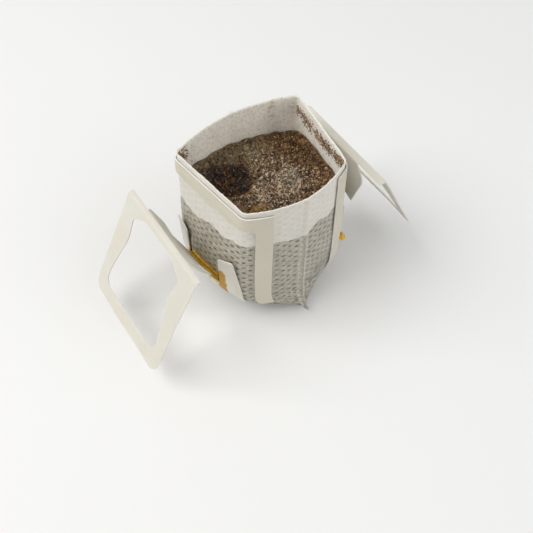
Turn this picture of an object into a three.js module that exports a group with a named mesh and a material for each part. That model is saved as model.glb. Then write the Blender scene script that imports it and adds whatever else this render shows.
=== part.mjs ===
// Drip coffee bag, opened and hung on a cup: a filter pouch with two glued hanger frames, two hook
// ears die-cut from card, and the wet bed of grounds inside.
// Millimetres, +Z up. The origin is on the pouch's middle line, at the level of the cup rim that the
// ears rest on. The faces with the ears look along -X and +X, the pouch's seams run down at -Y and +Y.
import * as THREE from 'three';
import { mergeVertices } from 'three/addons/utils/BufferGeometryUtils.js';

// Filter pouch
const mouthHeight = 15.4; // torn upper edge, above the rim
const pouchDrop = 67; // from the torn edge straight down to the bottom fold
const faceWidth = 36; // flat face between its two corners
const frontDepth = 41.8; // between the faces at the front corners
const backDepth = 52; // between the faces at the back corners
const frontFlank = 21.8; // from a front corner to the front seam
const backFlank = 26.6; // from a back corner to the back seam
const filterWall = 0.4;
const seamFin = 1.5; // sealed edge that stands out along both seams
const seamThickness = 0.9;
const cornerRound = 1.6;
const faceBulge = 3.9; // how far the grounds push each face out
const flankBow = 1;
const cornerSwell = 0.06; // share by which the pouch is deeper where it bulges most
const bottomRun = 18; // height over which the faces close to the bottom fold
const bottomFold = 1.4; // thickness of the folded bottom edge
const bottomSpread = 0.35; // share of a flank's free length that the closing bottom pushes out
const cornerRise = 7; // how far the ends of the bottom fold ride up
const tearRipple = 0.35;

// Card
const card = 0.45;
const glueGap = 0.3; // clearance between card and filter, and between grounds and filter

// Hanger frames
const frameDrop = 2.4; // card edge below the torn edge
const stripHeight = 6.2;
const stripReach = 10.2; // past each corner of the face
const legWidth = 6.2;
const legBottom = 57; // below the torn edge
const legFillet = 2.4;
const rightFrameShift = -3.2; // the right frame is glued a little towards the back

// Ears: loop outside the cup, seat on its rim, tongue down to a hinge, plate and tabs on the face
const leftCrease = 41.3; // from the pouch's middle to the crease over the rim
const rightCrease = 32.8;
const loopWidth = 47.4;
const loopHeight = 49.4;
const loopCornerRadius = 5;
const loopSlope = 28; // degrees from upright
const leftSeat = 2; // flat band of the card on the rim
const rightSeat = 3.4;
const holeTop = 4.3;
const holeTopWidth = 19;
const holeShoulderWidth = 33;
const holeShoulder = 8.5;
const holeWaistWidth = 29.4;
const holeWaist = 17;
const holeBottomWidth = 36.6;
const holeFlare = 35; // where it has its full width
const holeBottom = 43;
const holeCornerRadius = 4.5;
const tongueRoot = 20; // attached width along the crease
const tongueWidth = 33;
const tongueWide = 4.6; // from the crease to where it is widest
const tongueEndWidth = 29.4;
const tongueShoulder = 15; // length of its wide part
const neckWidth = 16;
const hingeHeight = -31;
const tabSlit = 0.5; // cut between a tab and the tongue
const tabSlant = 3;
const tabLean = 1.6; // how far a tab's end stands off the filter
const plateWidth = 35;
const plateDrop = 10;
const plateCornerRadius = 4;

// Bed of grounds
const bedHeight = 0.2;
const bedTilt = 0.03; // rise towards the back seam
const bedTwist = 0.0058; // rise towards the back left and front right corners
const bedEdge = 1.5; // height of the bed's edge over the first ring of the filter below it
const craterX = -9.5;
const craterY = 10;
const craterRadius = 9;
const craterDepth = 5;

const paperWhite = new THREE.MeshStandardMaterial({ color: 0xe4e4de, roughness: 0.95, metalness: 0 });
const cardCream = new THREE.MeshStandardMaterial({ color: 0xe3ded2, roughness: 0.8, metalness: 0 });
const coffeeBrown = new THREE.MeshStandardMaterial({ color: 0x4a3524, roughness: 0.9, metalness: 0 });

const { clamp, lerp, degToRad } = THREE.MathUtils;
const faceHalf = faceWidth / 2;
const foldHalf = bottomFold / 2;
const bottomHeight = mouthHeight - pouchDrop;
const bottomStart = bottomHeight + bottomRun;
const innerBottom = bottomHeight + 2.4;
const flankLength = { front: frontFlank, back: backFlank };
const cornerDepth = { front: frontDepth / 2, back: backDepth / 2 };

// 0 where the faces start to close, 1 at the bottom fold
function bottomShare(z) {
  return clamp((bottomStart - z) / bottomRun, 0, 1);
}

// Share of the mouth's depth that the pouch still has at a height
function openShare(z) {
  return Math.pow(1 - bottomShare(z) ** 2, 0.5);
}

// Share of the bulge at a height: it is greatest about two thirds of the way down
function swellShare(z) {
  return Math.sin(Math.PI * clamp((mouthHeight - z) / pouchDrop, 0, 1) ** 1.6);
}

// Outline of the pouch at a height, with sharp corners. The run is measured along the paper from the
// middle of a face, positive towards the front seam; side is -1 for the left half and 1 for the right.
function sharpOutline(side, run, z) {
  const end = run > 0 ? 'front' : 'back';
  const open = openShare(z) * (1 + cornerSwell * swellShare(z));
  const along = Math.abs(run);
  if (along <= faceHalf) {
    const flat = lerp(cornerDepth.back, cornerDepth.front, (run / faceHalf + 1) / 2) * open;
    const bulge = faceBulge * swellShare(z) * (1 - (run / faceHalf) ** 2);
    return new THREE.Vector2(side * (Math.max(foldHalf, flat) + bulge), -run);
  }
  const flank = flankLength[end];
  const reach = Math.sqrt(flank ** 2 - cornerDepth[end] ** 2);
  const spread = reach + (flank - reach) * bottomSpread * (1 - openShare(z));
  const t = Math.min(1, (along - faceHalf) / flank);
  const bow = flankBow * Math.sin(Math.PI * t) * open;
  const x = lerp(Math.max(foldHalf, cornerDepth[end] * open), foldHalf, t) + bow / 2;
  return new THREE.Vector2(side * x, -Math.sign(run) * (faceHalf + spread * t + bow));
}

// The same outline with its corners rounded by averaging along the paper
function roundOutline(side, run, z) {
  const steps = [-1, -0.5, 0, 0.5, 1];
  const sum = new THREE.Vector2();
  steps.forEach((step) => sum.add(sharpOutline(side, run + step * cornerRound, z)));
  return sum.divideScalar(steps.length);
}

// Point on the pouch, moved out from the paper by a distance
function skin(side, run, z, out) {
  const point = roundOutline(side, run, z);
  const tangent = roundOutline(side, run + 0.3, z).sub(roundOutline(side, run - 0.3, z)).normalize();
  const x = point.x - side * tangent.y * out;
  const y = point.y + side * tangent.x * out;
  const rise = cornerRise * bottomShare(z) ** 2 * (point.y / (faceHalf + frontFlank)) ** 2;
  return new THREE.Vector3(x, y, z + rise);
}

// Runs at which a half ring has its points, from the front seam to the back seam
function ringRuns() {
  const face = Array.from({ length: 11 }, (_, i) => lerp(0.97, -0.97, i / 10) * faceHalf);
  const flankMarks = [0, 0.04, 0.1, 0.3, 0.5, 0.7, 0.9];
  const front = flankMarks.map((t) => faceHalf + 0.3 + frontFlank * t).reverse();
  const back = flankMarks.map((t) => -(faceHalf + 0.3 + backFlank * t));
  return [...front, ...face, ...back];
}

// Closed ring round the pouch, whose seam fins stand out by a distance. It runs down the right half and
// back along the left one, so that its first and last points, and each pair between, face each other.
function pouchRing(z, out, fin, ripple) {
  const half = seamThickness / 2;
  const right = ringRuns().map((run) => skin(1, run, z, out));
  const [front, back] = [right[0], right[right.length - 1]];
  right.unshift(new THREE.Vector3(half, front.y - fin, front.z));
  right.push(new THREE.Vector3(half, back.y + fin, back.z));
  const left = right.map((point) => new THREE.Vector3(-point.x, point.y, point.z)).reverse();
  const ring = [...right, ...left];
  ring.forEach((point, i) => {
    point.z += ripple * (0.6 * Math.sin(i * 1.9) + 0.4 * Math.sin(i * 4.3 + 1));
  });
  return ring;
}

// Heights of the rings from a top edge down, closer together where the bottom rounds
function ringHeights(top, bottom, count) {
  const straight = Array.from({ length: count }, (_, i) => lerp(top, bottomStart, i / (count - 1)));
  const round = Array.from({ length: count }, (_, i) => (
    lerp(bottomStart, bottom, Math.sin((Math.PI / 2) * ((i + 1) / count)))));
  return [...straight, ...round];
}

// Solid geometry with shared corners and its faces pointing out
function solidGeometry(positions, index) {
  const loose = new THREE.BufferGeometry();
  loose.setAttribute('position', new THREE.Float32BufferAttribute(positions, 3));
  loose.setIndex(index);
  const geometry = mergeVertices(loose, 1e-4);
  const order = Array.from(geometry.getIndex().array);
  const corner = (i) => new THREE.Vector3().fromBufferAttribute(geometry.getAttribute('position'), i);
  let volume = 0;
  for (let i = 0; i < order.length; i += 3) {
    volume += corner(order[i]).dot(corner(order[i + 1]).cross(corner(order[i + 2])));
  }
  if (volume < 0) order.reverse();
  geometry.setIndex(order);
  geometry.computeVertexNormals();
  return geometry;
}

// Skin over a stack of rings with equal counts, closed across its first and last ring
function loft(rings) {
  const count = rings[0].length;
  const positions = rings.flat().flatMap((point) => point.toArray());
  const index = [];
  for (let level = 0; level + 1 < rings.length; level += 1) {
    for (let i = 0; i < count; i += 1) {
      const a = level * count + i;
      const b = level * count + ((i + 1) % count);
      index.push(a, b, a + count, b, b + count, a + count);
    }
  }
  const lastRing = (rings.length - 1) * count;
  for (let i = 0; i + 1 < count / 2; i += 1) {
    const [a, b, c, d] = [i, i + 1, count - 2 - i, count - 1 - i];
    index.push(a, c, b, a, d, c);
    index.push(...[a, b, c, a, c, d].map((corner) => corner + lastRing));
  }
  return solidGeometry(positions, index);
}

function filterPouch() {
  const outer = ringHeights(mouthHeight, bottomHeight, 7).map((z, i) => (
    pouchRing(z, 0, seamFin, i === 0 ? tearRipple : 0)));
  const inner = ringHeights(mouthHeight, innerBottom, 7).map((z, i) => (
    pouchRing(z, -filterWall, 0.05, i === 0 ? tearRipple : 0)));
  return loft([...outer.reverse(), ...inner]);
}

// Height of the bed's surface, with the crater that the water has dug
function bedSurface(x, y) {
  const lumps = 0.5 * Math.sin(x * 0.42 + 1) * Math.cos(y * 0.37) + 0.3 * Math.sin(x * 0.9 - y * 0.7);
  const away = Math.hypot(x - craterX, y - craterY) / craterRadius;
  const crater = craterDepth * Math.exp(-(away ** 3));
  return bedHeight + bedTilt * y - bedTwist * x * y + lumps - crater;
}

function bedOfGrounds() {
  const inset = -(filterWall + glueGap);
  const below = ringHeights(mouthHeight, innerBottom, 7).filter((z) => z < bedHeight - bedEdge);
  const rim = pouchRing(bedHeight, inset, 0.05, 0).map(({ x, y }, i) => {
    const z = bedSurface(x, y);
    return pouchRing(z, inset, 0.05, 0)[i].setZ(z);
  });
  const sides = [rim, ...below.slice(0, -1).map((z) => pouchRing(z, inset, 0.05, 0))].reverse();
  const steps = 9;
  const surface = Array.from({ length: steps }, (_, i) => rim.map(({ x, y }) => {
    const share = 1 - (i + 0.8) / steps;
    return new THREE.Vector3(x * share, y * share, bedSurface(x * share, y * share));
  }));
  return loft([...sides, ...surface]);
}

// Splits the triangles of a flat net where one of their two coordinates has a value
function cutNet(net, { axis, value, within = () => true }) {
  const cuts = new Map();
  const sideOf = (i) => {
    const distance = net.points[i][axis] - value;
    return Math.abs(distance) < 1e-5 ? 0 : Math.sign(distance);
  };
  const cutEdge = (i, j) => {
    const key = i < j ? `${i} ${j}` : `${j} ${i}`;
    if (!cuts.has(key)) {
      const [p, q] = [net.points[i], net.points[j]];
      const point = p.clone().lerp(q, (value - p[axis]) / (q[axis] - p[axis]));
      cuts.set(key, net.points.push(point) - 1);
    }
    return cuts.get(key);
  };
  const split = (triangle) => {
    const sides = triangle.map(sideOf);
    if (!(sides.includes(1) && sides.includes(-1))) return [triangle];
    if (!within(...['x', 'y'].map((k) => triangle.reduce((sum, i) => sum + net.points[i][k] / 3, 0)))) {
      return [triangle];
    }
    const onLine = sides.indexOf(0);
    const lone = onLine >= 0 ? onLine : sides.findIndex((s) => sides.filter((t) => t === s).length === 1);
    const [a, b, c] = [0, 1, 2].map((k) => triangle[(lone + k) % 3]);
    if (onLine >= 0) {
      const m = cutEdge(b, c);
      return [[a, b, m], [a, m, c]];
    }
    const m = cutEdge(a, b);
    const n = cutEdge(a, c);
    return [[a, m, n], [m, b, c], [m, c, n]];
  };
  return { points: net.points, triangles: net.triangles.flatMap(split) };
}

// Card cut to a flat outline, creased or curved along lines of constant x or y, and put in place by a
// function of its flat coordinates and the depth in the card
function foldedCard(shape, lines, place) {
  const { shape: contour, holes } = shape.extractPoints(4);
  const triangles = THREE.ShapeUtils.triangulateShape(contour, holes);
  const points = [contour, ...holes].flat();
  let net = { points, triangles };
  net.triangles = net.triangles.map(([a, b, c]) => {
    const [p, q, r] = [a, b, c].map((i) => points[i]);
    return (q.x - p.x) * (r.y - p.y) > (q.y - p.y) * (r.x - p.x) ? [a, b, c] : [a, c, b];
  });
  lines.forEach((line) => { net = cutNet(net, line); });
  const count = net.points.length;
  const positions = [card, 0].flatMap((depth) => net.points.flatMap((p) => place(p.x, p.y, depth).toArray()));
  const index = net.triangles.flatMap(([a, b, c]) => [a, b, c, a + count, c + count, b + count]);
  const edges = new Set(net.triangles.flatMap(([a, b, c]) => [`${a} ${b}`, `${b} ${c}`, `${c} ${a}`]));
  edges.forEach((edge) => {
    const [a, b] = edge.split(' ').map(Number);
    if (!edges.has(`${b} ${a}`)) index.push(b, a, a + count, b, a + count, b + count);
  });
  return solidGeometry(positions, index);
}

// Values from one end to the other, no further apart than a step
function spaced(from, to, step) {
  const count = Math.ceil(Math.abs(to - from) / step);
  return Array.from({ length: count + 1 }, (_, i) => lerp(from, to, i / count));
}

function linesAt(axis, values, within) {
  return values.map((value) => ({ axis, value, within }));
}

// Polygon whose corners are rounded: each corner is [x, y, radius]
function roundedPath(path, corners) {
  corners.forEach(([x, y, radius], i) => {
    const at = new THREE.Vector2(x, y);
    const before = new THREE.Vector2(...corners.at(i - 1));
    const after = new THREE.Vector2(...corners[(i + 1) % corners.length]);
    const start = at.clone().add(before.sub(at).setLength(radius));
    const end = at.clone().add(after.sub(at).setLength(radius));
    if (i === 0) path.moveTo(start.x, start.y);
    else path.lineTo(start.x, start.y);
    if (radius > 0) path.quadraticCurveTo(at.x, at.y, end.x, end.y);
  });
  path.closePath();
  return path;
}

// Hanger frame: a strip across the face and round its corners, with a leg down each flank.
// Flat coordinates are the run along the paper and the height from the torn edge.
function hangerFrame(side, shift) {
  const end = faceHalf + stripReach;
  const inner = end - legWidth;
  const top = -frameDrop;
  const under = top - stripHeight;
  const outline = roundedPath(new THREE.Shape(), [
    [shift - end, top, 0], [shift - end, -legBottom, 0], [shift - inner, -legBottom, 0],
    [shift - inner, under, legFillet], [shift + inner, under, legFillet],
    [shift + inner, -legBottom, 0], [shift + end, -legBottom, 0], [shift + end, top, 0]]);
  const bends = [-1, 1].flatMap((sign) => spaced(-1, 1, 0.4).map((t) => sign * faceHalf + t * cornerRound));
  const runs = [...bends, ...spaced(-faceHalf, faceHalf, 6).slice(1, -1), shift - inner, shift + inner];
  const heights = [under, ...spaced(bottomStart - mouthHeight, -legBottom, 3.5).slice(0, -1)];
  const lines = [...linesAt('y', heights), ...linesAt('x', runs)];
  return foldedCard(outline, lines, (run, height, depth) => (
    skin(side, run, mouthHeight + height, glueGap + depth)));
}

// Places in the plane across an ear, outwards and up, from the crease over the rim to the loop's end,
// with the offsets that keep the card's thickness through each fold
function hookPath(crease, seat, hingeOut) {
  const slope = degToRad(loopSlope);
  const loopRun = loopHeight - seat;
  const seatEnd = crease + seat;
  const stops = [
    new THREE.Vector2(hingeOut, hingeHeight),
    new THREE.Vector2(crease, card),
    new THREE.Vector2(seatEnd, card),
    new THREE.Vector2(seatEnd + loopRun * Math.sin(slope), card - loopRun * Math.cos(slope))];
  const across = stops.slice(1).map((stop, i) => {
    const along = stop.clone().sub(stops[i]).normalize();
    return new THREE.Vector2(along.y, -along.x);
  });
  const mitres = stops.map((_, i) => {
    const sum = across[Math.max(0, i - 1)].clone().add(across[Math.min(i, across.length - 1)]);
    return sum.multiplyScalar(2 / sum.lengthSq());
  });
  return { stops, mitres };
}

// Ear: flat coordinates are the place along the crease and the distance past it, towards the loop's end
function earGeometry(side, crease, seat) {
  const hingeOut = skin(1, 0, hingeHeight, glueGap).x;
  const { stops, mitres } = hookPath(crease, seat, hingeOut);
  const tongueLength = stops[1].distanceTo(stops[0]);
  const toHinge = -tongueLength;
  const neckHalf = neckWidth / 2;
  const endHalf = tongueEndWidth / 2;
  const shoulder = -tongueShoulder;
  const tabTop = shoulder - tabSlit;
  const tabInner = neckHalf + tabSlit;
  const innerCard = [
    [tongueRoot / 2, 0, 0], [tongueWidth / 2, -tongueWide, 2], [endHalf, shoulder, 0.5],
    [neckHalf, shoulder, 1], [neckHalf, toHinge, 0], [tabInner, toHinge, 0],
    [tabInner, tabTop - tabSlant, 1], [endHalf, tabTop, 1],
    [plateWidth / 2, toHinge - 1, 3], [plateWidth / 2, toHinge - plateDrop, plateCornerRadius]];
  const loop = [[loopWidth / 2, 0, 1], [loopWidth / 2, loopHeight, loopCornerRadius]];
  const hole = [
    [holeTopWidth / 2, holeTop, 2], [holeShoulderWidth / 2, holeShoulder, 2],
    [holeWaistWidth / 2, holeWaist, 3], [holeBottomWidth / 2, holeFlare, 3],
    [holeBottomWidth / 2, holeBottom, holeCornerRadius]];
  const mirrored = (corners) => corners.map(([u, v, radius]) => [-u, v, radius]).reverse();
  const outline = roundedPath(new THREE.Shape(), [
    ...innerCard, ...mirrored(innerCard), ...mirrored(loop).reverse(), ...[...loop].reverse()]);
  outline.holes.push(roundedPath(new THREE.Path(), [...hole, ...mirrored(hole)]));
  const place = (u, v, depth) => {
    if (v >= 0) {
      const stop = v > seat ? 2 : 1;
      const share = stop === 2 ? (v - seat) / (loopHeight - seat) : v / seat;
      const from = stops[stop].clone().addScaledVector(mitres[stop], depth);
      const to = stops[stop + 1].clone().addScaledVector(mitres[stop + 1], depth);
      const at = from.lerp(to, share);
      return new THREE.Vector3(side * at.x, u, at.y);
    }
    const onTab = Math.abs(u) > neckHalf + tabSlit / 2 && v < shoulder - tabSlit / 2;
    if (v <= toHinge || onTab) {
      const up = v - toHinge;
      const lean = tabLean * Math.max(0, up / (shoulder - toHinge)) ** 2;
      return skin(side, -u, hingeHeight + up, glueGap + lean + depth);
    }
    const foot = skin(side, -u, hingeHeight, glueGap + depth);
    const head = stops[1].clone().addScaledVector(mitres[1], depth);
    return foot.lerp(new THREE.Vector3(side * head.x, u, head.y), 1 + v / tongueLength);
  };
  const onPouch = (u, v) => v < toHinge || (v < shoulder - tabSlit / 2 && Math.abs(u) > neckHalf);
  const lines = [
    ...linesAt('y', [0, seat, toHinge, toHinge - plateDrop / 2]),
    ...linesAt('y', spaced(shoulder, toHinge, 5).slice(1, -1), onPouch),
    ...linesAt('x', [-neckHalf / 2, 0, neckHalf / 2]),
    ...linesAt('x', [-neckHalf, neckHalf, -tabInner, tabInner, -tabInner - 3.5, tabInner + 3.5], onPouch)];
  return foldedCard(outline, lines, place);
}

function named(name, geometry, material) {
  const mesh = new THREE.Mesh(geometry, material);
  mesh.name = name;
  return mesh;
}

const dripBag = new THREE.Group();
dripBag.add(
  named('filter_bag', filterPouch(), paperWhite),
  named('coffee_grounds', bedOfGrounds(), coffeeBrown),
  named('hanger_frame_left', hangerFrame(-1, 0), cardCream),
  named('hanger_frame_right', hangerFrame(1, rightFrameShift), cardCream),
  named('ear_left', earGeometry(-1, leftCrease, leftSeat), cardCream),
  named('ear_right', earGeometry(1, rightCrease, rightSeat), cardCream));

export default dripBag;
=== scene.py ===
import itertools
import math
import random

import bpy
import numpy as np
from bpy.props import FloatProperty, FloatVectorProperty, IntProperty, PointerProperty
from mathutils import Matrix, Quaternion, Vector, geometry, kdtree


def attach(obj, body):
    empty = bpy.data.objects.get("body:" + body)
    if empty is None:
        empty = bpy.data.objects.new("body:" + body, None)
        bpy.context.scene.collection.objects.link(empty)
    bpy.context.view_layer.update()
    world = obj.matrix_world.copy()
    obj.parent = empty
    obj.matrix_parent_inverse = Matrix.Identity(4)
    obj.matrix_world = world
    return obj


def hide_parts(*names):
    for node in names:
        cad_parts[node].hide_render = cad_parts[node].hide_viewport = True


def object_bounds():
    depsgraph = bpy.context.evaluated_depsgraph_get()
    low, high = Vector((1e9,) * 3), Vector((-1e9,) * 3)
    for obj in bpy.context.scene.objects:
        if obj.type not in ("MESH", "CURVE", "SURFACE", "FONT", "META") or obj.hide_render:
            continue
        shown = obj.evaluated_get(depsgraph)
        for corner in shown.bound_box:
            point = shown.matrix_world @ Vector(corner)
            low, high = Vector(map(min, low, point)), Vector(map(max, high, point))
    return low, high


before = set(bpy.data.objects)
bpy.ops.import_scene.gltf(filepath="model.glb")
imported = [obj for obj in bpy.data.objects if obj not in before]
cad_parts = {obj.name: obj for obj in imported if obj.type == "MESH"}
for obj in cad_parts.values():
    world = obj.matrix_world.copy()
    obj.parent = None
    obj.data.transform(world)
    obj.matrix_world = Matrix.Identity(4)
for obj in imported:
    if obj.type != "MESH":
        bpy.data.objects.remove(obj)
cad_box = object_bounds()

bl_info = {
    "name": "Drip Coffee Bag",
    "version": (1, 0, 0),
    "blender": (4, 5, 0),
    "location": "3D View > Sidebar > Drip Bag",
    "description": "Filter pouch, die-cut card hangers and wet grounds of a single-cup drip coffee bag",
    "category": "Add Mesh",
}

BODY = "root"
MM = 0.001


def length(name, description, millimetres):
    """A size in metres whose default is given in millimetres"""
    return FloatProperty(name=name, description=description, default=millimetres * MM, unit="LENGTH",
                         precision=5)


def tint(name, description, colour):
    """A colour that the sidebar shows"""
    return FloatVectorProperty(name=name, description=description, default=colour, size=3,
                               subtype="COLOR", min=0, max=1)


class DRIPBAG_PG_pouch(bpy.types.PropertyGroup):
    """Sizes and colours of the filter pouch"""
    mouth_height: length("Mouth height", "Torn edge above the rim the ears rest on", 15.4)
    drop: length("Drop", "From the torn edge to the bottom fold", 67)
    face_width: length("Face width", "Flat face between its two corners", 36)
    front_depth: length("Front depth", "Between the faces at the front corners", 41.8)
    back_depth: length("Back depth", "Between the faces at the back corners", 52)
    front_flank: length("Front flank", "From a front corner to the front seam", 21.8)
    back_flank: length("Back flank", "From a back corner to the back seam", 26.6)
    wall: length("Wall", "Thickness of the filter web", 0.4)
    seam_fin: length("Seam fin", "Sealed edge that stands out along both seams", 0.9)
    seam_thickness: length("Seam thickness", "Both webs pressed together", 0.6)
    corner_round: length("Corner round", "Half the paper that bends round a corner", 1.6)
    face_bulge: length("Face bulge", "How far the grounds push each face out", 3.9)
    flank_bow: length("Flank bow", "How far each flank bows out", 1)
    bottom_run: length("Bottom run", "Height over which the faces close", 18)
    bottom_fold: length("Bottom fold", "Thickness of the folded bottom edge", 1.4)
    corner_rise: length("Corner rise", "How far the ends of the bottom fold ride up", 7)
    corner_swell: FloatProperty(name="Corner swell", default=0.06,
                                description="Share by which the pouch is deeper where it bulges most")
    bottom_spread: FloatProperty(name="Bottom spread", default=0.35,
                                 description="Share of a flank's free length that the bottom pushes out")
    wrinkle: length("Wrinkle", "Depth of the wrinkles in the wet web", 0.3)
    tear: length("Tear", "Unevenness of the torn edge", 0.3)
    tide: length("Tide line", "Height of the water line on the web, from the rim", -5.8)
    step: length("Mesh step", "Spacing of the points of the mesh", 0.55)
    dot_spacing: length("Dot spacing", "Between neighbouring embossed dots", 2.2)
    dry_colour: tint("Dry web", "Colour of the web above the water line", (0.79, 0.755, 0.685))
    wet_colour: tint("Wet web", "Colour of the web below the water line", (0.45, 0.415, 0.345))
    dot_colour: tint("Embossed dots", "Colour of the dots in the wet web", (0.155, 0.143, 0.12))


class DRIPBAG_PG_card(bpy.types.PropertyGroup):
    """Sizes and colours of the hanger frames and the ears"""
    thickness: length("Card", "Thickness of the card", 0.45)
    glue_gap: length("Glue gap", "Clearance between card and filter", 0.3)
    frame_drop: length("Frame drop", "Card edge below the torn edge", 2.4)
    strip_height: length("Strip height", "Height of the strip along the mouth", 6.2)
    strip_reach: length("Strip reach", "How far the strip goes past each corner", 10.2)
    leg_width: length("Leg width", "Width of a leg", 6.2)
    leg_bottom: length("Leg bottom", "Foot of a leg below the torn edge", 57)
    leg_fillet: length("Leg fillet", "Rounding between strip and leg", 2.4)
    right_shift: length("Right frame shift", "Offset of the right frame along the paper", -3.2)
    left_crease: length("Left crease", "From the pouch's middle to the left crease", 41.3)
    right_crease: length("Right crease", "From the pouch's middle to the right crease", 32.8)
    loop_width: length("Loop width", "Width of the loop outside the cup", 47.4)
    loop_height: length("Loop height", "From the crease to the end of the loop", 49.4)
    left_seat: length("Left seat", "Flat band on the rim, left ear", 2)
    right_seat: length("Right seat", "Flat band on the rim, right ear", 3.4)
    hinge_height: length("Hinge height", "Hinge of the tongue, from the rim", -31)
    shoulder_drop: length("Shoulder drop", "From the crease to where the tongue narrows", 15)
    tongue_width: length("Tongue width", "Width of the tongue at its shoulders", 29.4)
    neck_width: length("Neck width", "Width of the tongue between its slits", 16)
    slit: length("Slit", "Width of the slit beside the tongue", 0.5)
    plate_width: length("Plate width", "Width of the glued plate", 35)
    plate_drop: length("Plate drop", "From the hinge to the plate's lower edge", 10)
    tab_lean: length("Tab lean", "How far a tab's end stands off the filter", 1.6)
    fold_round: length("Fold round", "Half the card that bends at a fold", 0.5)
    loop_slope: FloatProperty(name="Loop slope", description="Slope of the loop from upright",
                              default=math.radians(28), subtype="ANGLE")
    warp: length("Warp", "How far damp card warps", 0.35)
    step: length("Mesh step", "Spacing of the points of the mesh", 1.1)
    colour: tint("Card", "Colour of the card's face", (0.72, 0.70, 0.625))
    # Paler than the face: partly the card's own cut edge, partly a painted highlight along it
    edge_and_highlight_colour: tint("Cut edge", "Colour of the card's cut edge", (0.80, 0.785, 0.74))


class DRIPBAG_PG_bed(bpy.types.PropertyGroup):
    """Sizes and colours of the wet grounds"""
    height: length("Bed height", "Mean height of the bed's surface, from the rim", 0.2)
    grain: length("Grain", "Size of the coarse grains", 0.95)
    crater_x: length("Crater X", "Middle of the crater", -9.5)
    crater_y: length("Crater Y", "Middle of the crater", 10)
    crater_radius: length("Crater radius", "Radius of the crater", 9)
    crater_depth: length("Crater depth", "Depth of the crater", 5.6)
    tilt: FloatProperty(name="Tilt", description="Rise towards the back seam", default=0.03)
    twist: FloatProperty(name="Twist", description="Rise towards two corners, per metre", default=5.8)
    side_points: IntProperty(name="Side points", description="Points along a side of the surface mesh",
                             default=210)
    loose_grains: IntProperty(name="Loose grains", description="Grains that lie on the surface",
                              default=4200)
    stuck_crumbs: IntProperty(name="Stuck crumbs", description="Dry crumbs tried on the filter's inside",
                              default=1900)
    # Near-black: the soaked grounds' own colour deepened by painted shade in the crater's hollow
    dark: tint("Soaked grounds", "Colour in the crater", (0.012, 0.006, 0.004))
    brown: tint("Wet grounds", "Main colour of the bed", (0.135, 0.078, 0.036))
    crumb: tint("Dry crumbs", "Colour of the dry grounds on the filter", (0.23, 0.135, 0.062))
    tan: tint("Foam and chaff", "Colour of the lightest specks", (0.60, 0.48, 0.34))


class DRIPBAG_PG_coffee(bpy.types.PropertyGroup):
    """Sizes of the brewed coffee on the outside"""
    pool_length: length("Pool length", "Coffee along the left hinge", 16)
    pool_depth: length("Pool depth", "How high the coffee stands in the hinge", 5.8)
    bead_height: length("Bead height", "Middle of the drop, from the rim", -28.5)
    bead_radius: length("Bead radius", "Greatest radius of the drop", 2)
    bead_length: length("Bead length", "Length of the drop", 4.4)


class DRIPBAG_PG_stage(bpy.types.PropertyGroup):
    """Camera, floor and lamps"""
    eye: FloatVectorProperty(name="Eye", description="Place of the camera", subtype="TRANSLATION",
                             default=(-0.0889, -0.1322, 0.1851))
    azimuth: FloatProperty(name="Azimuth", description="Direction of view, from +Y towards +X",
                           default=math.radians(33.96), subtype="ANGLE")
    elevation: FloatProperty(name="Elevation", description="How far the camera looks down",
                             default=math.radians(56.37), subtype="ANGLE")
    roll: FloatProperty(name="Roll", description="Roll of the camera", default=math.radians(0.26),
                        subtype="ANGLE")
    lens: FloatProperty(name="Lens", description="Focal length on a 36 mm sensor", default=45.37)
    floor_gap: length("Floor gap", "Clearance under the bottom fold", 0.2)
    floor_colour: tint("Floor", "Colour of the floor", (0.86, 0.86, 0.85))
    window_power: FloatProperty(name="Window", description="Power of the main lamp", default=6.3)
    fill_power: FloatProperty(name="Fill", description="Power of the fill lamp", default=2.2)
    backdrop_colour: tint("Backdrop", "Colour that the floor fades to", (0.86, 0.865, 0.86))


# Parts of the bed that differ in colour, each kept as a share for each point
ZONES = ("soaked_and_shaded", "foam", "damp", "olive", "ash", "liquor")

# Keeps the patterns on the two halves of the paper apart
SIDE_OFFSET = 0.3

# Steps of the average that rounds a corner or a fold, in shares of half the bend
BEND_STEPS = (-1, -0.5, 0, 0.5, 1)


# Noise and small helpers

def noise(points, size, seed):
    """Smooth noise from -1 to 1 at points in two or three dimensions, with bumps of about a size"""
    grid = np.asarray(points, float) / size
    cell = np.floor(grid).astype(np.int64)
    part = grid - cell
    part = part * part * (3 - 2 * part)
    primes = (73856093, 19349663, 83492791)
    total = np.zeros(len(grid))
    for corner in itertools.product((0, 1), repeat=grid.shape[1]):
        key = np.full(len(grid), seed * 7919 + 17, np.int64)
        weight = np.ones(len(grid))
        for axis, step in enumerate(corner):
            key ^= (cell[:, axis] + step) * primes[axis]
            weight = weight * (part[:, axis] if step else 1 - part[:, axis])
        key = (key ^ (key >> 13)) * 1274126177 & 0xFFFFFFFF
        key = (key ^ (key >> 16)) * 2246822519 & 0xFFFFFFFF
        total += weight * ((key ^ (key >> 15)) / 0xFFFFFFFF * 2 - 1)
    return total


def smoothstep(low, high, value):
    """Share from 0 to 1 that eases in and out between two values"""
    share = np.clip((value - low) / (high - low), 0, 1)
    return share * share * (3 - 2 * share)


def add_piece(name, vertices, faces, material, smooth=True):
    """New mesh object that rides with the bag and takes the given material"""
    mesh = bpy.data.meshes.new(name)
    mesh.from_pydata([tuple(v) for v in vertices], [], [tuple(f) for f in faces])
    mesh.polygons.foreach_set("use_smooth", [smooth] * len(mesh.polygons))
    mesh.materials.append(material)
    mesh.update()
    piece = bpy.data.objects.new(name, mesh)
    bpy.context.scene.collection.objects.link(piece)
    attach(piece, BODY)
    return piece


def store(piece, name, values):
    """Keeps a value or a vector for each point, for the materials to read"""
    values = np.asarray(values, np.float32)
    kind = "FLOAT" if values.ndim == 1 else "FLOAT_VECTOR"
    attribute = piece.data.attributes.new(name, kind, "POINT")
    attribute.data.foreach_set("value" if values.ndim == 1 else "vector", values.ravel())


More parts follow.
